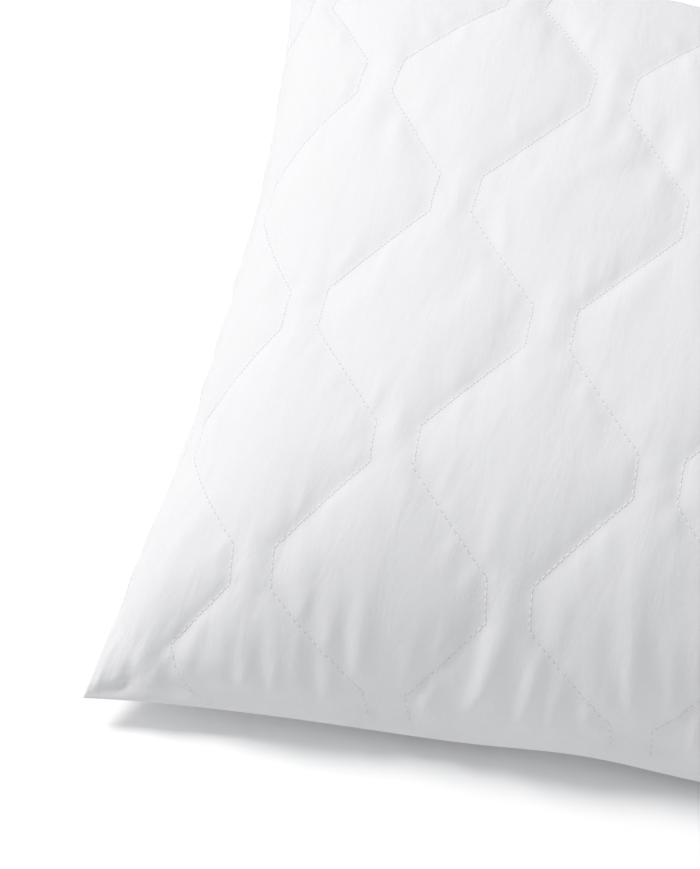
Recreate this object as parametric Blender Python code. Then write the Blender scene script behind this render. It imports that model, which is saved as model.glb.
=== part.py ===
"""A quilted bed pillow, lying on its underside.

Two quilted panels, each of cotton, wadding and backing held together by rows of quilting
thread, are sewn round their edges over a loose fibre filling. The frame is metres, +Z up,
with the origin under the middle of the pillow: X runs along its length, Y across it.
"""

import math

import bmesh
import bpy
import numpy as np
from mathutils import Vector

MM = 0.001

# The cut panels, before filling.
CUT_LENGTH = 700 * MM
CUT_WIDTH = 500 * MM

# The filled pillow: its corners stay wide, and the middle of each edge is drawn in.
CORNER_X = 341 * MM
CORNER_Y = 241 * MM
DRAWN_IN_X = 22 * MM
DRAWN_IN_Y = 12 * MM
DRAWN_IN_POWER = 2.4
CROWN_HEIGHT = 160 * MM
CROWN_POWER = 2.8
SEAM_HEIGHT = 40 * MM
CORNER_HEIGHT = 16 * MM
CORNER_DROOP_POWER = 4.0
RESTING_SHARE = 0.45
BELLY_POWER = 1.8

# The layers, from the outside in. Each starts at an inset from the outer surface.
FABRIC_THICKNESS = 0.4 * MM
THREAD_SPACE = 2.8 * MM
WADDING_THICKNESS = 4.0 * MM
LAYER_GAP = 0.6 * MM
BACKING_THICKNESS = 0.4 * MM
SEAM_GAP = 2.4 * MM

# The quilting: adjoining lines mirror each other, so they close into necks and open into cells.
# Columns and rows are counted in pitches from the first neck, and the filling bows them.
COLUMN_PITCH = 115 * MM
ROW_PITCH = 128 * MM
NECK_SHARE = 0.172
NECK_LENGTH_SHARE = 0.155
FIRST_NECK_X = -308 * MM
FIRST_NECK_Y = -261 * MM
MIDDLE_COLUMN = 2.68
MIDDLE_ROW = 1.62
HALF_COLUMNS = 2.92
HALF_ROWS = 1.81
COLUMN_BOW = 57 * MM
COLUMN_SPREAD = -32 * MM
ROW_BOW = 29 * MM
ROW_LIFT = 49 * MM
THREAD_PAIRS = 6
THREAD_RADIUS = 0.2 * MM
THREAD_END_MARGIN = 18 * MM
THREAD_CORNER_SHARE = 0.55
THREAD_STEP = 0.02
THREAD_FIT = 0.1 * MM
SEAM_THREAD_RADIUS = 0.25 * MM

# The blank care label, caught in the seam of the short edge at +X.
LABEL_LENGTH = 20 * MM
LABEL_WIDTH = 36 * MM
LABEL_THICKNESS = 0.5 * MM
LABEL_Y = 30 * MM
LABEL_GAP = 1.0 * MM

# The closing seam, sewn over the last gap in the long edge at +Y after filling.
CLOSING_LENGTH = 220 * MM
CLOSING_CLEARANCE = 0.9 * MM

GRID_X = 18
GRID_Y = 14
ARC_SAMPLES = 400

FABRIC_INSET = 0.0
THREAD_INSET = FABRIC_THICKNESS + THREAD_SPACE / 2
WADDING_INSET = FABRIC_THICKNESS + THREAD_SPACE
BACKING_INSET = WADDING_INSET + WADDING_THICKNESS + LAYER_GAP
FILLING_INSET = BACKING_INSET + BACKING_THICKNESS + 2 * LAYER_GAP


def clear_scene():
    for obj in list(bpy.data.objects):
        bpy.data.objects.remove(obj)


def make_material(name, color, roughness):
    material = bpy.data.materials.new(name)
    material.use_nodes = True
    shader = material.node_tree.nodes["Principled BSDF"]
    shader.inputs["Base Color"].default_value = (*color, 1)
    shader.inputs["Roughness"].default_value = roughness
    shader.inputs["Metallic"].default_value = 0
    return material


def crown_profile(share):
    """Height of the top, as a share, at a share of the way from the middle to an edge."""
    return np.sqrt(np.clip(1 - share**CROWN_POWER, 0, 1))


def belly_profile(share):
    """The same for the underside, which lies flat until RESTING_SHARE of the way out."""
    past = np.clip((share - RESTING_SHARE) / (1 - RESTING_SHARE), 0, 1)
    return 1 - past**BELLY_POWER


def arc_to_share(half_width, rise, profile):
    """Tables that turn a share of the panel's half width into a share of the pillow's."""
    share = np.sin(np.linspace(0, math.pi / 2, ARC_SAMPLES))
    height = rise * profile(share)
    steps = np.hypot(np.diff(share * half_width), np.diff(height))
    arc = np.concatenate([[0], np.cumsum(steps)])
    return arc / arc[-1], share


MIDDLE_X = CORNER_X - DRAWN_IN_X
MIDDLE_Y = CORNER_Y - DRAWN_IN_Y
TOP_RISE = CROWN_HEIGHT - SEAM_HEIGHT
PANELS = {
    "top": {
        "profile": crown_profile,
        "along": arc_to_share(MIDDLE_X, TOP_RISE, crown_profile),
        "across": arc_to_share(MIDDLE_Y, TOP_RISE, crown_profile),
    },
    "bottom": {
        "profile": belly_profile,
        "along": arc_to_share(MIDDLE_X, SEAM_HEIGHT, belly_profile),
        "across": arc_to_share(MIDDLE_Y, SEAM_HEIGHT, belly_profile),
    },
}


def corner_share(x, y):
    """0 along the pillow's middle lines, 1 at a corner."""
    return abs(x / CORNER_X * y / CORNER_Y)


def panel_point(panel, cut_x, cut_y, inset):
    """Where a point of the cut panel lies on the filled pillow, inset from its outer surface."""
    shape = PANELS[panel]
    u = math.copysign(np.interp(abs(cut_x) / (CUT_LENGTH / 2), *shape["along"]), cut_x)
    v = math.copysign(np.interp(abs(cut_y) / (CUT_WIDTH / 2), *shape["across"]), cut_y)
    x = u * (CORNER_X - inset - DRAWN_IN_X * (1 - abs(v) ** DRAWN_IN_POWER))
    y = v * (CORNER_Y - inset - DRAWN_IN_Y * (1 - abs(u) ** DRAWN_IN_POWER))
    droop = (SEAM_HEIGHT - CORNER_HEIGHT) * corner_share(x, y) ** CORNER_DROOP_POWER
    seam = SEAM_HEIGHT - droop
    swell = shape["profile"](abs(u)) * shape["profile"](abs(v))
    if panel == "top":
        return Vector((x, y, seam + SEAM_GAP / 2 + (TOP_RISE - inset) * swell))
    return Vector((x, y, (seam - SEAM_GAP / 2) * (1 - swell) + inset * swell))


def panel_grid(mesh, panel, inset):
    """Adds one face of a layer as a grid over the cut panel, and returns its vertices.

    Each square is split along the diagonal that points away from the middle, the same in every
    layer, so that the layers' facets run parallel and a corner has a fold and no flat facet.
    """
    before = set(mesh.faces)
    made = bmesh.ops.create_grid(
        mesh, x_segments=GRID_X, y_segments=GRID_Y, size=0.5
    )["verts"]
    for face in [face for face in mesh.faces if face not in before]:
        middle = face.calc_center_median()
        turn = math.copysign(1, middle.x * middle.y)
        ends = sorted(face.verts, key=lambda vertex: vertex.co.x + turn * vertex.co.y)
        bmesh.utils.face_split(face, ends[0], ends[-1])
    for vertex in made:
        vertex.co = panel_point(
            panel, vertex.co.x * CUT_LENGTH, vertex.co.y * CUT_WIDTH, inset
        )
    return made


def close_rim(mesh, first, second):
    """Joins the open edges of two grids, whose vertices are in the same order."""
    partner = dict(zip(first, second))
    rim = {edge for vertex in first for edge in vertex.link_edges if edge.is_boundary}
    for a, b in [tuple(edge.verts) for edge in rim]:
        mesh.faces.new((a, b, partner[b], partner[a]))


def add_object(name, data, material, collection):
    obj = bpy.data.objects.new(name, data)
    obj.data.materials.append(material)
    collection.objects.link(obj)
    return obj


def finish_mesh(name, mesh, material, collection):
    bmesh.ops.recalc_face_normals(mesh, faces=mesh.faces)
    if mesh.calc_volume(signed=True) < 0:
        bmesh.ops.reverse_faces(mesh, faces=mesh.faces)
    data = bpy.data.meshes.new(name)
    mesh.to_mesh(data)
    mesh.free()
    data.shade_smooth()
    return add_object(name, data, material, collection)


def make_layer(name, panel, inset, thickness, material, collection):
    """A dish-shaped layer of one panel, open at the seam."""
    mesh = bmesh.new()
    outer = panel_grid(mesh, panel, inset)
    inner = panel_grid(mesh, panel, inset + thickness)
    close_rim(mesh, outer, inner)
    return finish_mesh(name, mesh, material, collection)


def make_filling(material, collection):
    """The loose fibre, as one solid that fills both panels."""
    mesh = bmesh.new()
    upper = panel_grid(mesh, "top", FILLING_INSET)
    lower = panel_grid(mesh, "bottom", FILLING_INSET)
    close_rim(mesh, upper, lower)
    return finish_mesh("fibre_filling", mesh, material, collection)


def faceted_point(panel, cut_x, cut_y, inset):
    """The same as panel_point, but on the flat facets of a layer, so a thread keeps clear of them."""
    across = (cut_x / CUT_LENGTH + 0.5) * GRID_X
    back = (cut_y / CUT_WIDTH + 0.5) * GRID_Y
    i = min(int(across), GRID_X - 1)
    j = min(int(back), GRID_Y - 1)
    across -= i
    back -= j
    square = {}
    for di in (0, 1):
        for dj in (0, 1):
            corner_x = CUT_LENGTH * ((i + di) / GRID_X - 0.5)
            corner_y = CUT_WIDTH * ((j + dj) / GRID_Y - 0.5)
            square[di, dj] = panel_point(panel, corner_x, corner_y, inset)
    if (i + 0.5 - GRID_X / 2) * (j + 0.5 - GRID_Y / 2) > 0:
        start, end, turn = square[0, 0], square[1, 1], (across, back)
        other = square[1, 0] if across > back else square[0, 1]
    else:
        start, end, turn = square[0, 1], square[1, 0], (across, 1 - back)
        other = square[1, 1] if across > 1 - back else square[0, 0]
    near, far = min(turn), max(turn)
    return start * (1 - far) + other * (far - near) + end * near


def quilted(column, row):
    """Cut-panel X and Y of a place in the pattern, with the bow that the filling gives it."""
    side = (MIDDLE_COLUMN - column) / HALF_COLUMNS
    depth = (row - MIDDLE_ROW) / HALF_ROWS
    cut_x = FIRST_NECK_X + COLUMN_PITCH * column
    cut_x += COLUMN_BOW * side * depth**2 + COLUMN_SPREAD * side**3
    cut_y = FIRST_NECK_Y + ROW_PITCH * row
    cut_y += ROW_BOW * (1 - side**2) * depth**2 + ROW_LIFT * side**3
    return cut_x, cut_y


def quilting_line(pair, side):
    """Cut-panel points of one line of a pair, from front to back: side -1 is the left line."""
    swing = 0.5 - NECK_SHARE
    points = []
    for step in range(round(5 / THREAD_STEP)):
        row = step * THREAD_STEP - 1
        slanted = (abs(row - round(row)) - NECK_LENGTH_SHARE / 2) / (0.5 - NECK_LENGTH_SHARE)
        offset = NECK_SHARE / 2 + swing * min(max(slanted, 0), 1)
        cut_x, cut_y = quilted(pair + side * offset, row)
        reach_x = CUT_LENGTH / 2 - THREAD_END_MARGIN
        reach_y = CUT_WIDTH / 2 - THREAD_END_MARGIN
        if abs(cut_x) < reach_x and abs(cut_y) < reach_y:
            points.append((cut_x, cut_y))
    return points


def quilting_lines():
    """The lines that stay on the panel from front to back, from left to right."""
    sides = [(pair, side) for pair in range(THREAD_PAIRS) for side in (-1, 1)]
    return [quilting_line(pair, side) for pair, side in sides[1:]]


def simplified(points, within):
    """The points that matter: those further than within from the line between their neighbours."""
    if len(points) < 3:
        return points
    first, last = points[0], points[-1]
    along = (last - first).normalized()
    away = [((p - first) - along * (p - first).dot(along)).length for p in points]
    far = max(range(len(points)), key=away.__getitem__)
    if away[far] <= within:
        return [first, last]
    return simplified(points[: far + 1], within)[:-1] + simplified(points[far:], within)


def make_tube(name, points, radius, material, collection, cyclic=False):
    curve = bpy.data.curves.new(name, "CURVE")
    curve.dimensions = "3D"
    curve.bevel_depth = radius
    curve.bevel_resolution = 0
    curve.use_fill_caps = not cyclic
    spline = curve.splines.new("POLY")
    spline.points.add(len(points) - 1)
    for place, point in zip(spline.points, points):
        place.co = (*point, 1)
    spline.use_cyclic_u = cyclic
    return add_object(name, curve, material, collection)


def make_quilting_threads(panel, material, collection):
    for number, line in enumerate(quilting_lines(), 1):
        laid = [faceted_point(panel, cut_x, cut_y, THREAD_INSET) for cut_x, cut_y in line]
        points = [point for point in laid if corner_share(point.x, point.y) < THREAD_CORNER_SHARE]
        make_tube(
            f"{panel}_quilting_thread_{number:02d}",
            simplified(points, THREAD_FIT),
            THREAD_RADIUS,
            material,
            collection,
        )


def make_panel(panel, materials, collection):
    make_layer(
        f"{panel}_cover_fabric", panel, FABRIC_INSET, FABRIC_THICKNESS,
        materials["cotton"], collection,
    )
    make_layer(
        f"{panel}_wadding", panel, WADDING_INSET, WADDING_THICKNESS,
        materials["wadding"], collection,
    )
    make_layer(
        f"{panel}_backing", panel, BACKING_INSET, BACKING_THICKNESS,
        materials["backing"], collection,
    )
    make_quilting_threads(panel, materials["thread"], collection)


def seam_point(cut_x, cut_y, inset):
    """A point of the seam line, halfway between the rims of the two panels."""
    upper = panel_point("top", cut_x, cut_y, inset)
    lower = panel_point("bottom", cut_x, cut_y, inset)
    return (upper + lower) / 2


def seam_corners():
    """The rim of the cut panel, at the same places as the grids' rim vertices."""
    xs = [CUT_LENGTH * (i / GRID_X - 0.5) for i in range(GRID_X + 1)]
    ys = [CUT_WIDTH * (j / GRID_Y - 0.5) for j in range(GRID_Y + 1)]
    front = [(x, ys[0]) for x in xs[:-1]]
    right = [(xs[-1], y) for y in ys[:-1]]
    back = [(x, ys[-1]) for x in xs[:0:-1]]
    left = [(xs[0], y) for y in ys[:0:-1]]
    return front + right + back + left


def make_seam_thread(material, collection):
    """The lockstitch that joins the two panels all the way round."""
    points = [seam_point(x, y, SEAM_THREAD_RADIUS) for x, y in seam_corners()]
    make_tube("perimeter_seam_thread", points, SEAM_THREAD_RADIUS, material, collection, True)


def make_closing_thread(material, collection):
    """The short seam sewn from the outside after filling, just clear of the back edge."""
    half = CLOSING_LENGTH / 2
    points = [
        seam_point(half * step / 4, CUT_WIDTH / 2, -CLOSING_CLEARANCE)
        for step in range(-4, 5)
    ]
    make_tube("closing_seam_thread", points, SEAM_THREAD_RADIUS, material, collection)


def make_care_label(material, collection):
    """A blank woven label that hangs out of the seam of the right edge."""
    root = seam_point(CUT_LENGTH / 2, LABEL_Y, -LABEL_GAP)
    bpy.ops.mesh.primitive_cube_add(
        size=1, location=(root.x + LABEL_LENGTH / 2, root.y, root.z)
    )
    label = bpy.context.object
    label.name = "care_label"
    label.dimensions = (LABEL_LENGTH, LABEL_WIDTH, LABEL_THICKNESS)
    label.data.materials.append(material)
    for owner in label.users_collection:
        owner.objects.unlink(label)
    collection.objects.link(label)


def main():
    clear_scene()
    pillow = bpy.data.collections.new("bed_pillow")
    bpy.context.scene.collection.children.link(pillow)
    materials = {
        "cotton": make_material("cotton", (0.93, 0.93, 0.94), 0.85),
        "wadding": make_material("wadding", (0.9, 0.9, 0.89), 0.95),
        "backing": make_material("backing", (0.88, 0.89, 0.9), 0.9),
        "filling": make_material("filling", (0.95, 0.95, 0.94), 0.98),
        "thread": make_material("thread", (0.9, 0.9, 0.91), 0.6),
        "label": make_material("label", (0.94, 0.94, 0.94), 0.55),
    }
    for panel in PANELS:
        make_panel(panel, materials, pillow)
    make_filling(materials["filling"], pillow)
    make_seam_thread(materials["thread"], pillow)
    make_closing_thread(materials["thread"], pillow)
    make_care_label(materials["label"], pillow)


main()
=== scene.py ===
"""The looks of the quilted bed pillow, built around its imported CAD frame."""

import math

import bpy
import numpy as np
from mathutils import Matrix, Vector
from mathutils.bvhtree import BVHTree
from mathutils.kdtree import KDTree


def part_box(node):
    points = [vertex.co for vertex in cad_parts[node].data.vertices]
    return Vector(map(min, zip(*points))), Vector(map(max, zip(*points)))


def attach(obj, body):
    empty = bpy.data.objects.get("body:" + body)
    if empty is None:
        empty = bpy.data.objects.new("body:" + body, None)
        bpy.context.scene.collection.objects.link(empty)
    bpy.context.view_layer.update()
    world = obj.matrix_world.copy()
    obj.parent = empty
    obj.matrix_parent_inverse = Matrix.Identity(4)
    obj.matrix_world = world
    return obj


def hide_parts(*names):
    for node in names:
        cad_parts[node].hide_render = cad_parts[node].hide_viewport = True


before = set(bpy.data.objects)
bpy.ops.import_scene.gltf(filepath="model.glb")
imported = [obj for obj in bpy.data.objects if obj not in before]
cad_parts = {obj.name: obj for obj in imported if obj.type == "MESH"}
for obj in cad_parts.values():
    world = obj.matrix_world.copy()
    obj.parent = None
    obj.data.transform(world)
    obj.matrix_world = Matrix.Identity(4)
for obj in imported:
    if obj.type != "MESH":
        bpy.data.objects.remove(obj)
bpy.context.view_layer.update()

MM = 0.001

# ---------------------------------------------------------------- the pillow's driving sizes

COVER_LOW, COVER_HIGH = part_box("top_cover_fabric")
CORNER_X = (COVER_HIGH[0] - COVER_LOW[0]) / 2
CORNER_Y = (COVER_HIGH[1] - COVER_LOW[1]) / 2
CUT_LENGTH = 700 * MM
CUT_WIDTH = 500 * MM
CROWN_HEIGHT = COVER_HIGH[2]
CORNER_HEIGHT = COVER_LOW[2] - 2 * MM
SEAM_HEIGHT = 40 * MM
DRAWN_IN_X = 22 * MM
DRAWN_IN_Y = 16 * MM
LONG_SEAM_SAG = 31 * MM
PINCH_X = -98 * MM
PINCH_WIDTH = 45 * MM
PINCH_LIFT = 7 * MM
DRAWN_IN_POWER = 2.4
CROWN_POWER = 2.8
BELLY_POWER = 1.8
RESTING_SHARE = 0.45
CORNER_DROOP_POWER = 4.0

# The quilting, on the cut panel. The lines mirror each other in pairs, and the stuffed panel
# bows them a little: columns are drawn in at the ends and rows lift towards the sides.
COLUMN_PITCH = 115 * MM
ROW_PITCH = 128 * MM
NECK_SHARE = 0.172
NECK_LENGTH_SHARE = 0.155
FIRST_NECK_X = -308 * MM
FIRST_NECK_Y = -261 * MM
MIDDLE_COLUMN = 2.68
MIDDLE_ROW = 1.62
HALF_COLUMNS = 2.92
HALF_ROWS = 1.81
COLUMN_BOW = 57 * MM
COLUMN_SPREAD = -32 * MM
ROW_BOW = 29 * MM
ROW_LIFT = 49 * MM
LINE_PAIRS = 7

PUFF = 4.2 * MM
PUFF_REACH = 42 * MM
PUFF_POWER = 0.72
STITCH_VALLEY = 2.0 * MM
RIM_FADE = 16 * MM
STITCH_PITCH = 4.0 * MM
STITCH_LENGTH = 2.9 * MM
STITCH_RADIUS = 0.3 * MM

SEAM_INSET = 3 * MM
CLOSING_LENGTH = 220 * MM

PERCALE_LIGHT = (0.72, 0.72, 0.726)
PERCALE_DARK = (0.695, 0.695, 0.703)
WORLD_STRENGTH = 0.68
KEY_POWER = 150
FILL_POWER = 1
FLOOR_GLOW = 0.03

GRID_STEP = 3.5 * MM
HELD_SHARE = 0.5
SNAPPED_SHARE = 0.35
# Part of each gather is there before the cloth settles, and the rest is added afterwards.
EARLY_GATHERS = 0.2
LATE_GATHERS = 0.8
FLOOR_GAP = 0.3 * MM

CLOTH_FRAMES = 20
CLOTH_PRESSURE = 1.2
EXTRA_CLOTH = (1.018, 1.004, 1.008)
MOST_MOVE = 3.5 * MM
CLOTH_SETTINGS = {
    "quality": 4,
    "mass": 0.15,
    "tension_stiffness": 12,
    "compression_stiffness": 12,
    "shear_stiffness": 4,
    "bending_stiffness": 0.6,
    "air_damping": 3,
    "use_pressure": True,
    "uniform_pressure_force": CLOTH_PRESSURE,
}

# ---------------------------------------------------------------- shape of the filled panels


def crown_profile(share):
    return np.sqrt(np.clip(1 - np.abs(share) ** CROWN_POWER, 0, 1))


def belly_profile(share):
    past = np.clip((np.abs(share) - RESTING_SHARE) / (1 - RESTING_SHARE), 0, 1)
    return 1 - past**BELLY_POWER


def arc_table(half_width, rise, profile):
    """Turns a share of the panel's half width into a share of the pillow's half width."""
    share = np.sin(np.linspace(0, math.pi / 2, 400))
    steps = np.hypot(np.diff(share * half_width), np.diff(rise * profile(share)))
    arc = np.concatenate([[0], np.cumsum(steps)])
    return arc / arc[-1], share


PROFILES = {"top": crown_profile, "bottom": belly_profile}
RISES = {"top": CROWN_HEIGHT - SEAM_HEIGHT, "bottom": SEAM_HEIGHT}
ARCS = {
    panel: (
        arc_table(CORNER_X - DRAWN_IN_X, RISES[panel], PROFILES[panel]),
        arc_table(CORNER_Y - DRAWN_IN_Y, RISES[panel], PROFILES[panel]),
    )
    for panel in PROFILES
}


def share_of(cut, half_width, table):
    return np.sign(cut) * np.interp(np.abs(cut) / half_width, *table)


def filled_point(panel, cut_x, cut_y):
    """Where points of a cut panel lie on the filled pillow, as an array of (x, y, z)."""
    profile = PROFILES[panel]
    along, across = ARCS[panel]
    u = share_of(cut_x, CUT_LENGTH / 2, along)
    v = share_of(cut_y, CUT_WIDTH / 2, across)
    x = u * (CORNER_X - DRAWN_IN_X * (1 - np.abs(v) ** DRAWN_IN_POWER))
    y = v * (CORNER_Y - DRAWN_IN_Y * (1 - np.abs(u) ** DRAWN_IN_POWER))
    corner = np.abs(x / CORNER_X * y / CORNER_Y) ** CORNER_DROOP_POWER
    seam = SEAM_HEIGHT - (SEAM_HEIGHT - CORNER_HEIGHT) * corner
    seam = seam - LONG_SEAM_SAG * (1 - np.abs(u) ** 3) * np.abs(v) ** 6
    pinch = np.exp(-(((x - PINCH_X) / PINCH_WIDTH) ** 2)) * np.clip(-v, 0, 1) ** 8
    seam = seam + PINCH_LIFT * pinch
    swell = profile(u) * profile(v)
    if panel == "top":
        return np.stack([x, y, seam + (CROWN_HEIGHT - SEAM_HEIGHT) * swell], -1)
    return np.stack([x, y, seam * (1 - swell)], -1)


def outward_normals(panel, points):
    """Normals of a grid of points, out of the pillow."""
    normal = np.cross(np.gradient(points, axis=0), np.gradient(points, axis=1))
    normal /= np.maximum(np.linalg.norm(normal, axis=-1, keepdims=True), 1e-12)
    return normal if panel == "top" else -normal


# ---------------------------------------------------------------- the quilting pattern


def quilted(column, row):
    """Cut-panel X and Y of a place in the pattern, counted in pitches from the first neck."""
    side = (MIDDLE_COLUMN - column) / HALF_COLUMNS
    depth = (row - MIDDLE_ROW) / HALF_ROWS
    cut_x = FIRST_NECK_X + COLUMN_PITCH * column
    cut_x = cut_x + COLUMN_BOW * side * depth**2 + COLUMN_SPREAD * side**3
    cut_y = FIRST_NECK_Y + ROW_PITCH * row
    cut_y = cut_y + ROW_BOW * (1 - side**2) * depth**2 + ROW_LIFT * side**3
    return cut_x, cut_y


def quilting_line(pair, side):
    """One stitched line of a pair, as finely spaced cut-panel points from front to back."""
    rows = np.linspace(-1, 5, 6000)
    from_neck = np.abs(rows - np.round(rows))
    slanted = (from_neck - NECK_LENGTH_SHARE / 2) / (0.5 - NECK_LENGTH_SHARE)
    swing = (0.5 - NECK_SHARE) * np.clip(slanted, 0, 1)
    cut_x, cut_y = quilted(pair + side * (NECK_SHARE / 2 + swing), rows)
    inside = (np.abs(cut_x) < CUT_LENGTH / 2) & (np.abs(cut_y) < CUT_WIDTH / 2)
    return np.stack([cut_x, cut_y], -1)[inside]


LINES = {
    (pair, side): quilting_line(pair, side) for pair in range(LINE_PAIRS) for side in (-1, 1)
}
LINES = {key: line for key, line in LINES.items() if len(line) > 60}
WHOLE_LINES = [(pair, side) for pair in range(6) for side in (-1, 1)][1:]
NECKS = [quilted(pair / 2, row + pair % 2 / 2) for pair in range(-2, 14) for row in range(-1, 5)]


def tree_of(points):
    tree = KDTree(len(points))
    for index, point in enumerate(points):
        tree.insert((point[0], point[1], 0), index)
    tree.balance()
    return tree


STITCHED = np.concatenate([line[::4] for line in LINES.values()])
STITCH_TREE = tree_of(STITCHED)
NECK_TREE = tree_of(NECKS)


def nearest(tree, cut_x, cut_y):
    """The nearest point of a tree to each cut-panel point, and how far it is."""
    found = [tree.find((x, y, 0)) for x, y in zip(cut_x.ravel(), cut_y.ravel())]
    places = np.array([spot[0][:2] for spot in found]).reshape(*cut_x.shape, 2)
    return places, np.array([spot[2] for spot in found]).reshape(cut_x.shape)


# ---------------------------------------------------------------- wrinkles


def noise(x, y, seed):
    """Smooth noise from -1 to 1, with features about one unit across."""
    table = np.random.default_rng(seed).uniform(-1, 1, (97, 89))
    left, low = np.floor(x).astype(int), np.floor(y).astype(int)
    across, up = x - left, y - low
    across = across * across * (3 - 2 * across)
    up = up * up * (3 - 2 * up)
    a, b = left % 97, (left + 1) % 97
    c, d = low % 89, (low + 1) % 89
    near = table[a, c] * (1 - across) + table[b, c] * across
    far = table[a, d] * (1 - across) + table[b, d] * across
    return near * (1 - up) + far * up


def smoothstep(value):
    value = np.clip(value, 0, 1)
    return value * value * (3 - 2 * value)


def fold(value):
    """Turns noise into soft folds of an even height, from -1 to 1."""
    return np.tanh(2.4 * value)


def puckers(cut_x, cut_y, from_line, from_neck, seed):
    """Height of the small gathers that run across the panel's length, deepest at the stitches."""
    drift = 9 * MM * noise(cut_x / (60 * MM), cut_y / (45 * MM), seed)
    fan = 1 + 0.18 * noise(cut_x / (90 * MM), cut_y / (80 * MM), seed + 1)
    fine = fold(noise((cut_x + drift) * fan / (7 * MM), cut_y / (26 * MM), seed + 2))
    broad = fold(noise((cut_x + drift) * fan / (14 * MM), cut_y / (40 * MM), seed + 3))
    patch = 0.3 + 0.7 * smoothstep(0.5 + noise(cut_x / (38 * MM), cut_y / (33 * MM), seed + 4))
    at_line = np.exp(-from_line / (12 * MM))
    front = np.exp(-(CUT_WIDTH / 2 - np.abs(cut_y)) / (36 * MM))
    height = (0.1 + 0.3 * at_line + 0.5 * front) * fine * patch
    height += (0.5 + 0.3 * at_line + 0.9 * front) * broad * patch
    in_neck = np.exp(-((from_neck / (15 * MM)) ** 2))
    cross = fold(noise(cut_x / (17 * MM), cut_y / (6 * MM), seed + 5))
    height += 0.5 * in_neck * cross
    side = np.exp(-(CUT_LENGTH / 2 - np.abs(cut_x)) / (20 * MM))
    height += 1.2 * side * fold(noise(cut_x / (30 * MM), cut_y / (9 * MM), seed + 6))
    return height * MM


def add_fold(height, cut_x, cut_y, start, way, length, width, rise):
    """Adds one soft fold that starts at a cut-panel point and dies away along the panel's width."""
    lean = 0.16 * math.sin(start[0] * 41 + start[1] * 23)
    along = (cut_y - start[1]) * way / length
    across = (cut_x - start[0] - lean * (cut_y - start[1])) / (width * (0.75 + 0.5 * along))
    near = (along > 0) & (along < 1) & (np.abs(across) < 2.6)
    bell = np.exp(-(across[near] ** 2))
    shape = bell * (1 - 0.9 * across[near] ** 2)
    height[near] += rise * shape * smoothstep(along[near] / 0.2) * (1 - along[near]) ** 1.1


def stitch_folds(cut_x, cut_y, seed):
    """Short folds that the stitches draw up on both sides of each line, and longer ones at the
    long edges, where the seam takes up the panel's spare length."""
    rng = np.random.default_rng(seed)
    height = np.zeros_like(cut_x)
    for line in LINES.values():
        travelled = np.cumsum(np.linalg.norm(np.diff(line, axis=0), axis=1))
        for mark in np.arange(5 * MM, travelled[-1], 10.5 * MM):
            place = line[np.searchsorted(travelled, mark + rng.uniform(-3, 3) * MM) % len(line)]
            length, width = rng.uniform(16, 42) * MM, rng.uniform(3.4, 5.2) * MM
            rise = rng.uniform(0.6, 2.1) * MM
            way = rng.choice([-1, 1])
            add_fold(height, cut_x, cut_y, place, way, length, width, rise)
    for way in (1, -1):
        for x in np.arange(-CUT_LENGTH / 2 + 25 * MM, CUT_LENGTH / 2 - 20 * MM, 13 * MM):
            start = (x + rng.uniform(-5, 5) * MM, -way * (CUT_WIDTH / 2 - rng.uniform(6, 22) * MM))
            length, width = rng.uniform(38, 78) * MM, rng.uniform(4.2, 6.8) * MM
            rise = rng.uniform(2.6, 5.8) * MM
            add_fold(height, cut_x, cut_y, start, way, length, width, rise)
    return height


# ---------------------------------------------------------------- covers


COLUMNS = round(CUT_LENGTH / GRID_STEP)
ROWS = round(CUT_WIDTH / GRID_STEP)


def cut_grid():
    xs = np.linspace(-CUT_LENGTH / 2, CUT_LENGTH / 2, COLUMNS + 1)
    ys = np.linspace(-CUT_WIDTH / 2, CUT_WIDTH / 2, ROWS + 1)
    return np.meshgrid(xs, ys, indexing="ij")


def from_rim(cut_x, cut_y):
    return np.minimum(CUT_LENGTH / 2 - np.abs(cut_x), CUT_WIDTH / 2 - np.abs(cut_y))


def grid_faces(columns, rows, flipped):
    index = np.arange((columns + 1) * (rows + 1)).reshape(columns + 1, rows + 1)
    corners = [index[:-1, :-1], index[1:, :-1], index[1:, 1:], index[:-1, 1:]]
    faces = np.stack([corner.ravel() for corner in corners], -1)
    return faces[:, ::-1] if flipped else faces


def closed_faces(columns, rows, flipped):
    """Faces of two grids of points, one over the other, and of the wall that joins their rims."""
    count = (columns + 1) * (rows + 1)
    index = np.arange(count).reshape(columns + 1, rows + 1)
    loop = np.concatenate([index[:-1, 0], index[-1, :-1], index[:0:-1, -1], index[0, :0:-1]])
    after = np.roll(loop, -1)
    wall = np.stack([loop, loop + count, after + count, after], -1)
    wall = wall[:, ::-1] if flipped else wall
    lids = [grid_faces(columns, rows, flipped), grid_faces(columns, rows, not flipped) + count]
    return np.concatenate([*lids, wall])


def mesh_of(name, points, faces):
    data = bpy.data.meshes.new(name)
    data.vertices.add(len(points))
    data.vertices.foreach_set("co", np.ascontiguousarray(points, np.float32).ravel())
    sides = faces.shape[1]
    data.loops.add(faces.size)
    data.loops.foreach_set("vertex_index", np.ascontiguousarray(faces, np.int32).ravel())
    data.polygons.add(len(faces))
    data.polygons.foreach_set("loop_start", np.arange(0, faces.size, sides, dtype=np.int32))
    data.update(calc_edges=True)
    data.validate()
    data.shade_smooth()
    return data


def piece_of(name, data, material):
    piece = bpy.data.objects.new(name, data)
    bpy.context.scene.collection.objects.link(piece)
    data.materials.append(material)
    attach(piece, "root")
    return piece


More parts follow.
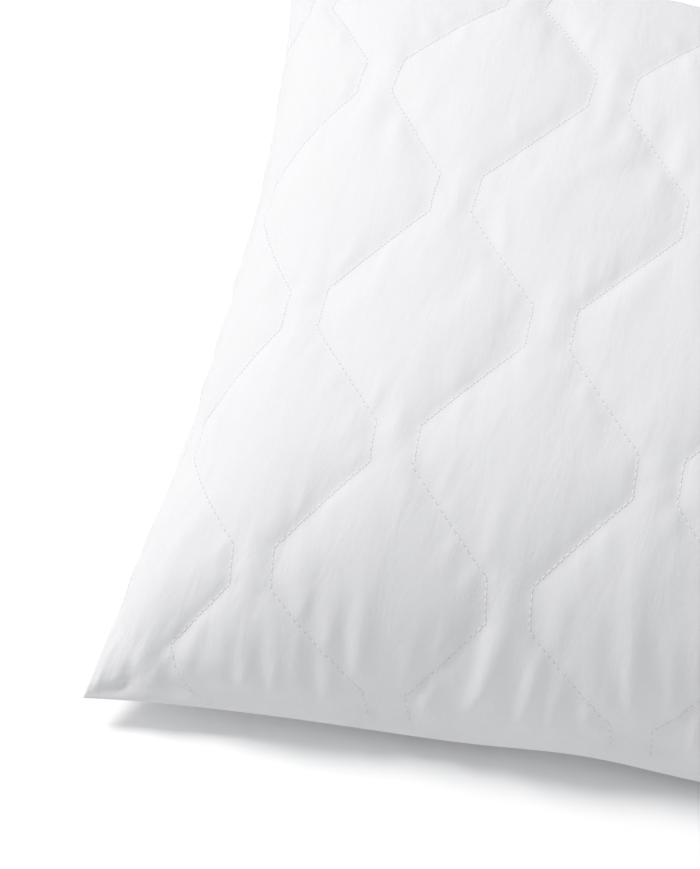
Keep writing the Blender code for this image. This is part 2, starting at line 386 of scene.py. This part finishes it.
def settle(piece, pinned, start):
    """Lets the cloth swell and buckle between its stitches, and returns where its points end."""
    shape = start * np.array(EXTRA_CLOTH)
    piece.shape_key_add(name="Basis")
    loose = piece.shape_key_add(name="loose")
    loose.data.foreach_set("co", shape.astype(np.float32).ravel())
    group = piece.vertex_groups.new(name="stitched")
    group.add([int(index) for index in np.flatnonzero(pinned)], 1, "REPLACE")
    modifier = piece.modifiers.new("cloth", "CLOTH")
    cloth = modifier.settings
    for setting, value in CLOTH_SETTINGS.items():
        setattr(cloth, setting, value)
    cloth.vertex_group_mass = "stitched"
    cloth.rest_shape_key = loose
    cloth.effector_weights.gravity = 0
    modifier.collision_settings.use_collision = False
    modifier.point_cache.frame_start = 1
    modifier.point_cache.frame_end = CLOTH_FRAMES
    scene = bpy.context.scene
    for frame_number in range(1, CLOTH_FRAMES + 1):
        scene.frame_set(frame_number)
    graph = bpy.context.evaluated_depsgraph_get()
    settled = piece.evaluated_get(graph).to_mesh()
    points = np.empty(len(settled.vertices) * 3, np.float32)
    settled.vertices.foreach_get("co", points)
    piece.evaluated_get(graph).to_mesh_clear()
    piece.modifiers.remove(modifier)
    piece.vertex_groups.remove(group)
    piece.shape_key_clear()
    scene.frame_set(1)
    return points.reshape(-1, 3).astype(float)


def stitched_depth(cut_x, cut_y):
    return PUFF * smoothstep(from_rim(cut_x, cut_y) / RIM_FADE)


def make_cover(panel, material):
    """One quilted cover panel. Returns the piece and what the layers under it are made from."""
    seed = 11 if panel == "top" else 61
    cut_x, cut_y = cut_grid()
    places, from_line = nearest(STITCH_TREE, cut_x, cut_y)
    inner = from_rim(cut_x, cut_y) > GRID_STEP / 2
    held = (from_line < GRID_STEP * HELD_SHARE) & inner
    snapped = (from_line < GRID_STEP * SNAPPED_SHARE) & inner
    cut_x = np.where(snapped, places[..., 0], cut_x)
    cut_y = np.where(snapped, places[..., 1], cut_y)
    from_line = np.where(snapped, 0, from_line)
    from_neck = nearest(NECK_TREE, cut_x, cut_y)[1]
    envelope = filled_point(panel, cut_x, cut_y)
    normals = outward_normals(panel, envelope)
    rounded = np.hypot(from_line, STITCH_VALLEY) - STITCH_VALLEY
    reach = np.clip(rounded / PUFF_REACH, 0, 1)
    swell = (reach * (2 - reach)) ** PUFF_POWER
    depth = stitched_depth(cut_x, cut_y)
    shaped = envelope - normals * (depth * (1 - swell))[..., None]
    gathers = puckers(cut_x, cut_y, from_line, from_neck, seed)
    gathers += stitch_folds(cut_x, cut_y, seed + 7)
    gathers *= smoothstep(from_rim(cut_x, cut_y) / (5 * MM))
    gathers *= 0.3 + 0.7 * smoothstep(from_line / (5 * MM))
    corner = np.abs(envelope[..., 0] / CORNER_X * envelope[..., 1] / CORNER_Y)
    gathers *= 1 - 0.8 * smoothstep((corner - 0.55) / 0.4)
    points = (shaped + normals * EARLY_GATHERS * gathers[..., None]).reshape(-1, 3)
    faces = grid_faces(COLUMNS, ROWS, panel == "bottom")
    piece = piece_of(f"{panel}_quilted_cover", mesh_of(panel, points, faces), material)
    pinned = (held | (from_rim(cut_x, cut_y) < GRID_STEP / 2)).ravel()
    move = settle(piece, pinned, points) - points
    length = np.linalg.norm(move, axis=1, keepdims=True)
    move *= np.tanh(length / MOST_MOVE) * MOST_MOVE / np.maximum(length, 1e-9)
    points = points + move
    points = points + LATE_GATHERS * (normals * gathers[..., None]).reshape(-1, 3)
    points[:, 2] = np.maximum(points[:, 2], FLOOR_GAP)
    piece.data.vertices.foreach_set("co", points.astype(np.float32).ravel())
    cut = piece.data.attributes.new("cut", "FLOAT_VECTOR", "POINT")
    flat = np.stack([cut_x, cut_y, np.zeros_like(cut_x)], -1)
    cut.data.foreach_set("vector", (flat * 1000).astype(np.float32).ravel())
    piece.data.update()
    smooth = piece.modifiers.new("smooth", "SUBSURF")
    smooth.levels = 1
    smooth.render_levels = 1
    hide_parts(f"{panel}_cover_fabric")
    grid = {"panel": panel, "envelope": envelope, "normals": normals, "depth": depth, "shaped": shaped}
    return piece, grid


# ---------------------------------------------------------------- layers under the covers


def room(grid):
    """How far a layer may lie inside the cover before it could meet the other panel."""
    u = np.clip(np.abs(grid["envelope"][..., 0]) / CORNER_X, 0, 1)
    v = np.clip(np.abs(grid["envelope"][..., 1]) / CORNER_Y, 0, 1)
    profile = PROFILES[grid["panel"]]
    return 0.4 * RISES[grid["panel"]] * profile(u) * profile(v)


def under(grid, deeper):
    """The quilted-down surface, moved inwards."""
    inwards = np.minimum(grid["depth"] + deeper, room(grid))
    return grid["envelope"] - grid["normals"] * inwards[..., None]


def two_sided(name, outer, inner, trim, flipped):
    """A closed layer between two grids of points, with the outermost rings left out."""
    outer = outer[trim:-trim:2, trim:-trim:2]
    inner = inner[trim:-trim:2, trim:-trim:2]
    points = np.concatenate([outer.reshape(-1, 3), inner.reshape(-1, 3)])
    return mesh_of(name, points, closed_faces(outer.shape[0] - 1, outer.shape[1] - 1, flipped))


def make_layers(grid, materials):
    panel = grid["panel"]
    flipped = panel == "bottom"
    lid = np.minimum(2.6 * MM, room(grid))
    lower_cover = grid["shaped"] - grid["normals"] * lid[..., None]
    wadding = piece_of(
        f"{panel}_quilted_wadding",
        two_sided(f"{panel}_quilted_wadding", lower_cover, under(grid, 4.0 * MM), 3, flipped),
        materials["wadding"],
    )
    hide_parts(f"{panel}_wadding")
    backing = piece_of(
        f"{panel}_quilted_backing",
        two_sided(
            f"{panel}_quilted_backing", under(grid, 4.4 * MM), under(grid, 4.8 * MM), 3, flipped
        ),
        materials["backing"],
    )
    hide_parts(f"{panel}_backing")


def make_filling(grids, material):
    top, bottom = (under(grids[panel], 6.0 * MM) for panel in ("top", "bottom"))
    filling = piece_of(
        "loose_filling", two_sided("loose_filling", top, bottom, 5, False), material
    )
    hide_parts("fibre_filling")


# ---------------------------------------------------------------- stitches


def capsule(rings=5, around=6):
    """A unit stitch along X: a thin round thread whose ends dip into the cloth."""
    along = np.linspace(-1, 1, rings)
    radius = np.sqrt(1 - 0.93 * np.abs(along) ** 3)
    turn = np.linspace(0, 2 * math.pi, around, endpoint=False)
    points = np.stack([
        np.repeat(along, around),
        np.outer(radius, np.cos(turn)).ravel(),
        np.outer(radius, np.sin(turn)).ravel(),
    ], -1)
    index = np.arange(rings * around).reshape(rings, around)
    after = np.roll(index, -1, axis=1)
    faces = np.stack([index[:-1], after[:-1], after[1:], index[1:]], -1).reshape(-1, 4)
    first, last = index[0], index[-1]
    caps = [first[[5, 4, 3, 2]], last[[0, 1, 2, 3]], first[[0, 5, 4, 3]], last[[0, 3, 4, 5]]]
    return points, np.concatenate([faces, caps])


STITCH = capsule()


def row_of_stitches(name, places, along, up, material, radius, painted_hole_shade_material):
    """One thread's visible stitches as one mesh, each with a flat grey disc at its end: painted shade
    of the needle hole.
    """
    side = np.cross(up, along)
    points, faces = STITCH
    bend = -0.9 * radius * points[:, 0] ** 4
    count = len(places)
    local = (
        along[:, None] * (points[None, :, :1] * STITCH_LENGTH / 2)
        + side[:, None] * points[None, :, 1:2] * radius
        + up[:, None] * (points[None, :, 2:] * radius * 0.8 + bend[None, :, None])
    )
    stitches = (places[:, None] + local).reshape(-1, 3)
    numbered = (faces[None] + np.arange(count)[:, None, None] * len(points)).reshape(-1, 4)
    # Flat grey discs laid just above the cloth between the stitches: painted shade where the thread
    # dives in.
    turn = np.linspace(0, 2 * math.pi, 8, endpoint=False)
    painted_hole_shade = radius * 1.0
    middles = places + along * STITCH_PITCH / 2
    rings = (
        middles[:, None]
        + along[:, None] * (np.cos(turn) * painted_hole_shade)[None, :, None] * 1.25
        + side[:, None] * (np.sin(turn) * painted_hole_shade)[None, :, None]
        + up[:, None] * 0.10 * MM
    )
    start = len(stitches) + np.arange(count)[:, None] * 8
    fans = [start + np.array(spokes) for spokes in ([0, 1, 2, 3], [0, 3, 4, 7], [4, 5, 6, 7])]
    painted_hole_shades = np.concatenate(fans)
    data = mesh_of(name, np.concatenate([stitches, rings.reshape(-1, 3)]),
                   np.concatenate([numbered, painted_hole_shades]))
    piece = piece_of(name, data, material)
    data.materials.append(painted_hole_shade_material)
    slots = np.zeros(len(data.polygons), np.int32)
    slots[len(numbered):] = 1
    data.polygons.foreach_set("material_index", slots)
    return piece


def stitch_places(tree, line, panel):
    """Evenly spaced places along a cut-panel line, on the finished cover."""
    ideal = filled_point(panel, line[:, 0], line[:, 1])
    travelled = np.concatenate([[0], np.cumsum(np.linalg.norm(np.diff(ideal, axis=0), axis=1))])
    marks = np.arange(STITCH_PITCH, travelled[-1], STITCH_PITCH)
    spots = np.stack([np.interp(marks, travelled, line[:, axis]) for axis in (0, 1)], -1)
    small = 0.4 * MM
    here = filled_point(panel, spots[:, 0], spots[:, 1])
    to_x = filled_point(panel, spots[:, 0] + small, spots[:, 1]) - here
    to_y = filled_point(panel, spots[:, 0], spots[:, 1] + small) - here
    up = np.cross(to_x, to_y)
    up /= np.maximum(np.linalg.norm(up, axis=1, keepdims=True), 1e-12)
    up = up if panel == "top" else -up
    laid = here - up * stitched_depth(spots[:, 0], spots[:, 1])[:, None]
    found = [tree.find_nearest(Vector(place))[0] for place in laid]
    places = np.array(found)
    along = np.gradient(places, axis=0)
    along /= np.maximum(np.linalg.norm(along, axis=1, keepdims=True), 1e-12)
    up = up - along * (up * along).sum(1, keepdims=True)
    up /= np.maximum(np.linalg.norm(up, axis=1, keepdims=True), 1e-12)
    return places + up * 0.08 * MM, along, up


def make_stitching(cover, panel, materials):
    graph = bpy.context.evaluated_depsgraph_get()
    tree = BVHTree.FromObject(cover, graph)
    for key, line in LINES.items():
        laid = filled_point(panel, line[:, 0], line[:, 1])
        corner = np.abs(laid[:, 0] / CORNER_X * laid[:, 1] / CORNER_Y)
        inside = (from_rim(line[:, 0], line[:, 1]) > 5 * MM) & (corner < 0.82)
        if inside.sum() < 40:
            continue
        places, along, up = stitch_places(tree, line[inside], panel)
        if len(places) < 3:
            continue
        if key in WHOLE_LINES:
            number = WHOLE_LINES.index(key) + 1
            name = f"{panel}_quilting_stitches_{number:02d}"
        else:
            name = f"{panel}_corner_stitches_{key[0]}_{'left' if key[1] < 0 else 'right'}"
        piece = row_of_stitches(
            name, places, along, up, materials["thread"], STITCH_RADIUS, materials["painted_hole_shade"]
        )
        if key in WHOLE_LINES:
            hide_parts(f"{panel}_quilting_thread_{number:02d}")


def rim_places(points, pitch):
    travelled = np.concatenate([[0], np.cumsum(np.linalg.norm(np.diff(points, axis=0), axis=1))])
    marks = np.arange(pitch, travelled[-1], pitch)
    places = np.stack([np.interp(marks, travelled, points[:, axis]) for axis in range(3)], -1)
    along = np.gradient(places, axis=0)
    return places, along / np.linalg.norm(along, axis=1, keepdims=True)


def make_seam(materials):
    """The lockstitch all round, set just inside the edge where the panels meet."""
    side = np.linspace(-1, 1, 400)
    halves = CUT_LENGTH / 2, CUT_WIDTH / 2
    loop = np.concatenate([
        np.stack([side * halves[0], np.full(400, -halves[1])], -1),
        np.stack([np.full(400, halves[0]), side * halves[1]], -1),
        np.stack([-side * halves[0], np.full(400, halves[1])], -1),
        np.stack([np.full(400, -halves[0]), -side * halves[1]], -1),
    ])
    edge = filled_point("top", loop[:, 0], loop[:, 1])
    inward = edge * np.array([1 - SEAM_INSET / CORNER_X, 1 - SEAM_INSET / CORNER_Y, 1])
    places, along = rim_places(inward, 3 * MM)
    up = np.tile([0.0, 0.0, 1.0], (len(places), 1))
    piece = row_of_stitches(
        "perimeter_lockstitch", places, along, up, materials["thread"], 0.25 * MM,
        materials["painted_hole_shade"],
    )
    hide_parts("perimeter_seam_thread")
    reach = np.linspace(-CLOSING_LENGTH / 2, CLOSING_LENGTH / 2, 60)
    closing = filled_point("top", reach, np.full(60, CUT_WIDTH / 2))
    closing[:, 1] += 0.35 * MM
    places, along = rim_places(closing, 3.2 * MM)
    outward = np.tile([0.0, 1.0, 0.0], (len(places), 1))
    piece = row_of_stitches(
        "closing_stitches", places, along, outward, materials["thread"], 0.3 * MM,
        materials["painted_hole_shade"],
    )
    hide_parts("closing_seam_thread")


def make_label(material):
    """A blank folded tape, caught in the side seam, that droops a little under its own weight."""
    low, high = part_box("care_label")
    count_x, count_y = 24, 18
    share = np.linspace(0, 1, count_x + 1)
    across = np.linspace(-1, 1, count_y + 1)
    share, across = np.meshgrid(share, across, indexing="ij")
    x = low[0] - 1 * MM + share * (high[0] - low[0])
    y = (low[1] + high[1]) / 2 + across * (high[1] - low[1]) / 2
    z = (low[2] + high[2]) / 2 - 7 * MM * share**1.8 + 0.8 * MM * share * across**2
    outer = np.stack([x, y, z + 0.3 * MM * (1 - 0.5 * share**6)], -1)
    inner = np.stack([x, y, z - 0.3 * MM * (1 - 0.5 * share**6)], -1)
    points = np.concatenate([outer.reshape(-1, 3), inner.reshape(-1, 3)])
    data = mesh_of("blank_label", points, closed_faces(count_x, count_y, False))
    piece = piece_of("blank_label", data, material)
    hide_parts("care_label")


# ---------------------------------------------------------------- materials


def material_of(name, color, roughness, sheen=0.0):
    material = bpy.data.materials.new(name)
    material.use_nodes = True
    shader = material.node_tree.nodes["Principled BSDF"]
    shader.inputs["Base Color"].default_value = (*color, 1)
    shader.inputs["Roughness"].default_value = roughness
    shader.inputs["Specular IOR Level"].default_value = 0.25
    shader.inputs["Sheen Weight"].default_value = sheen
    shader.inputs["Sheen Roughness"].default_value = 0.5
    return material, shader


def add_node(material, kind, **settings):
    node = material.node_tree.nodes.new(kind)
    for key, value in settings.items():
        setattr(node, key, value)
    return node


def mapped(material, source, scale):
    """Coordinates in millimetres, scaled so that one unit is one feature."""
    mapping = add_node(material, "ShaderNodeMapping")
    mapping.inputs["Scale"].default_value = scale
    material.node_tree.links.new(source, mapping.inputs["Vector"])
    return mapping.outputs["Vector"]


def textured(material, kind, vector, **inputs):
    node = add_node(material, kind)
    for key, value in inputs.items():
        node.inputs[key].default_value = value
    material.node_tree.links.new(vector, node.inputs["Vector"])
    return node


def bump_chain(material, shader, layers):
    """Stacks height textures as bumps: each layer is (height socket, distance, strength)."""
    previous = None
    for height, distance, strength in layers:
        bump = add_node(material, "ShaderNodeBump")
        bump.inputs["Distance"].default_value = distance
        bump.inputs["Strength"].default_value = strength
        material.node_tree.links.new(height, bump.inputs["Height"])
        if previous is not None:
            material.node_tree.links.new(previous, bump.inputs["Normal"])
        previous = bump.outputs["Normal"]
    material.node_tree.links.new(previous, shader.inputs["Normal"])


def tinted(material, shader, factor, light, dark):
    ramp = add_node(material, "ShaderNodeMix", data_type="RGBA")
    ramp.inputs[6].default_value = (*dark, 1)
    ramp.inputs[7].default_value = (*light, 1)
    material.node_tree.links.new(factor, ramp.inputs[0])
    material.node_tree.links.new(ramp.outputs[2], shader.inputs["Base Color"])


def weave(material, vector, pitch):
    """Warp and weft of a plain weave: the lower of two crossing waves at each place."""
    links = material.node_tree.links
    waves = []
    for direction in ("X", "Y"):
        wave = add_node(material, "ShaderNodeTexWave", bands_direction=direction)
        wave.inputs["Scale"].default_value = 0.314 / pitch
        wave.inputs["Distortion"].default_value = 0.6
        wave.inputs["Detail"].default_value = 1.0
        links.new(vector, wave.inputs["Vector"])
        waves.append(wave.outputs["Fac"])
    combined = add_node(material, "ShaderNodeMath", operation="MULTIPLY")
    links.new(waves[0], combined.inputs[0])
    links.new(waves[1], combined.inputs[1])
    return combined.outputs[0]


def make_percale():
    """Fine white cotton: a plain weave, a few thicker yarns, and small creases along the width."""
    material, shader = material_of("white_percale", PERCALE_LIGHT, 0.82, sheen=0.12)
    cut = add_node(material, "ShaderNodeAttribute", attribute_name="cut").outputs["Vector"]
    plain = mapped(material, cut, (1, 1, 1))
    yarns = weave(material, plain, 0.45)
    slubs = textured(
        material, "ShaderNodeTexNoise", mapped(material, cut, (1.3, 0.12, 1)), Scale=1.0, Detail=2.0
    )
    creases = textured(
        material, "ShaderNodeTexNoise", mapped(material, cut, (0.085, 0.03, 1)),
        Scale=1.0, Detail=4.0, Roughness=0.55, Distortion=0.6,
    )
    crumple = textured(
        material, "ShaderNodeTexNoise", mapped(material, cut, (0.3, 0.22, 1)),
        Scale=1.0, Detail=5.0, Roughness=0.6, Distortion=0.3,
    )
    cloud = textured(
        material, "ShaderNodeTexNoise", mapped(material, cut, (0.02, 0.02, 1)), Scale=1.0, Detail=3.0
    )
    tinted(material, shader, cloud.outputs["Fac"], PERCALE_LIGHT, PERCALE_DARK)
    bump_chain(material, shader, [
        (creases.outputs["Fac"], 1.6 * MM, 0.5),
        (crumple.outputs["Fac"], 0.4 * MM, 0.35),
        (slubs.outputs["Fac"], 0.08 * MM, 0.3),
        (yarns, 0.08 * MM, 0.55),
    ])
    return material


def make_fibre(name, color, scale):
    material, shader = material_of(name, color, 0.95, sheen=0.2)
    place = add_node(material, "ShaderNodeTexCoord").outputs["Object"]
    fibres = textured(
        material, "ShaderNodeTexNoise", mapped(material, place, (scale, scale, scale)),
        Scale=1.0, Detail=6.0, Roughness=0.7, Distortion=1.5,
    )
    tinted(material, shader, fibres.outputs["Fac"], color, tuple(0.9 * part for part in color))
    bump_chain(material, shader, [(fibres.outputs["Fac"], 0.8 * MM, 0.6)])
    return material


def make_tape():
    material, shader = material_of("blank_label_tape", (0.9, 0.9, 0.9), 0.5, sheen=0.1)
    place = add_node(material, "ShaderNodeTexCoord").outputs["Object"]
    ribs = textured(
        material, "ShaderNodeTexWave", mapped(material, place, (1000, 1000, 1000)), Scale=0.6
    )
    tinted(material, shader, ribs.outputs["Fac"], (0.92, 0.92, 0.92), (0.82, 0.82, 0.83))
    bump_chain(material, shader, [(ribs.outputs["Fac"], 0.1 * MM, 0.6)])
    return material


def make_thread():
    material, shader = material_of("spun_thread", (0.86, 0.86, 0.87), 0.55, sheen=0.1)
    place = add_node(material, "ShaderNodeTexCoord").outputs["Object"]
    twist = textured(
        material, "ShaderNodeTexWave", mapped(material, place, (1000, 1000, 1000)),
        Scale=1.2, Distortion=2.0,
    )
    tinted(material, shader, twist.outputs["Fac"], (0.88, 0.88, 0.89), (0.78, 0.78, 0.8))
    bump_chain(material, shader, [(twist.outputs["Fac"], 0.08 * MM, 0.7)])
    return material


def make_painted_hole_shade():
    # Grey with darker specks: painted shade of the needle holes, not a colour of the cloth or thread.
    material, shader = material_of("painted_needle_hole_shade", (0.42, 0.42, 0.44), 0.95)
    place = add_node(material, "ShaderNodeTexCoord").outputs["Object"]
    speck = textured(
        material, "ShaderNodeTexNoise", mapped(material, place, (400, 400, 400)), Scale=1.0
    )
    tinted(material, shader, speck.outputs["Fac"], (0.66, 0.66, 0.68), (0.5, 0.5, 0.52))
    return material


def make_floor():
    material, shader = material_of("white_sweep", (0.93, 0.93, 0.93), 0.9)
    shader.inputs["Emission Color"].default_value = (1, 1, 1, 1)
    shader.inputs["Emission Strength"].default_value = FLOOR_GLOW
    place = add_node(material, "ShaderNodeTexCoord").outputs["Object"]
    grain = textured(
        material, "ShaderNodeTexNoise", mapped(material, place, (30, 30, 30)), Scale=1.0
    )
    tinted(material, shader, grain.outputs["Fac"], (0.94, 0.94, 0.94), (0.92, 0.92, 0.92))
    return material


# ---------------------------------------------------------------- camera

CAMERA_AZIMUTH = math.radians(11.5)
CAMERA_ELEVATION = math.radians(54)
CAMERA_DISTANCE = 1.635
CAMERA_TARGET = Vector((-0.2335, -0.121, 0.1))
FOCAL_PIXELS = 3400
FRAME_HEIGHT_PIXELS = 869
SENSOR = 36


def add_camera():
    data = bpy.data.cameras.new("camera")
    data.lens = FOCAL_PIXELS / FRAME_HEIGHT_PIXELS * SENSOR
    data.sensor_width = SENSOR
    camera = bpy.data.objects.new("camera", data)
    bpy.context.scene.collection.objects.link(camera)
    back = Vector((
        math.sin(CAMERA_AZIMUTH) * math.cos(CAMERA_ELEVATION),
        -math.cos(CAMERA_AZIMUTH) * math.cos(CAMERA_ELEVATION),
        math.sin(CAMERA_ELEVATION),
    ))
    camera.location = CAMERA_TARGET + back * CAMERA_DISTANCE
    camera.rotation_euler = back.to_track_quat("Z", "Y").to_euler()
    bpy.context.scene.camera = camera


add_camera()


# ---------------------------------------------------------------- floor and lights


def add_light(name, place, size, power, color, target=(-0.15, -0.05, 0.05)):
    data = bpy.data.lights.new(name, "AREA")
    data.shape = "DISK"
    data.size = size
    data.energy = power
    data.color = color
    light = bpy.data.objects.new(name, data)
    bpy.context.scene.collection.objects.link(light)
    light.location = place
    away = Vector(place) - Vector(target)
    light.rotation_euler = away.to_track_quat("Z", "Y").to_euler()


def add_studio():
    scene = bpy.context.scene
    floor = bpy.data.objects.new("floor", mesh_of(
        "floor",
        np.array([(-8, -8, -0.2 * MM), (8, -8, -0.2 * MM), (8, 8, -0.2 * MM), (-8, 8, -0.2 * MM)]),
        np.array([[0, 1, 2, 3]]),
    ))
    scene.collection.objects.link(floor)
    floor.data.materials.append(make_floor())
    world = bpy.data.worlds.new("studio")
    world.use_nodes = True
    backdrop = world.node_tree.nodes["Background"]
    backdrop.inputs["Color"].default_value = (0.97, 0.98, 1.0, 1)
    backdrop.inputs["Strength"].default_value = WORLD_STRENGTH
    scene.world = world
    add_light("key", (-3.3, 1.0, 3.7), 1.4, KEY_POWER, (1.0, 0.99, 0.98))
    add_light("fill", (1.6, -1.4, 1.8), 1.8, FILL_POWER, (1.0, 0.98, 0.96))
    scene.view_settings.view_transform = "Standard"
    scene.view_settings.look = "None"


def main():
    add_studio()
    materials = {
        "cotton": make_percale(),
        "wadding": make_fibre("needled_wadding", (0.88, 0.88, 0.86), 300),
        "backing": make_fibre("thin_backing", (0.86, 0.87, 0.88), 700),
        "filling": make_fibre("loose_fibre", (0.92, 0.92, 0.91), 180),
        "thread": make_thread(),
        # The grey discs at the stitch ends get this material: painted shade of the needle holes.
        "painted_hole_shade": make_painted_hole_shade(),
        "label": make_tape(),
    }
    grids = {}
    covers = {}
    for panel in ("top", "bottom"):
        covers[panel], grids[panel] = make_cover(panel, materials["cotton"])
    make_filling(grids, materials["filling"])
    for panel in ("top", "bottom"):
        make_layers(grids[panel], materials)
        make_stitching(covers[panel], panel, materials)
    make_seam(materials)
    make_label(materials["label"])


main()
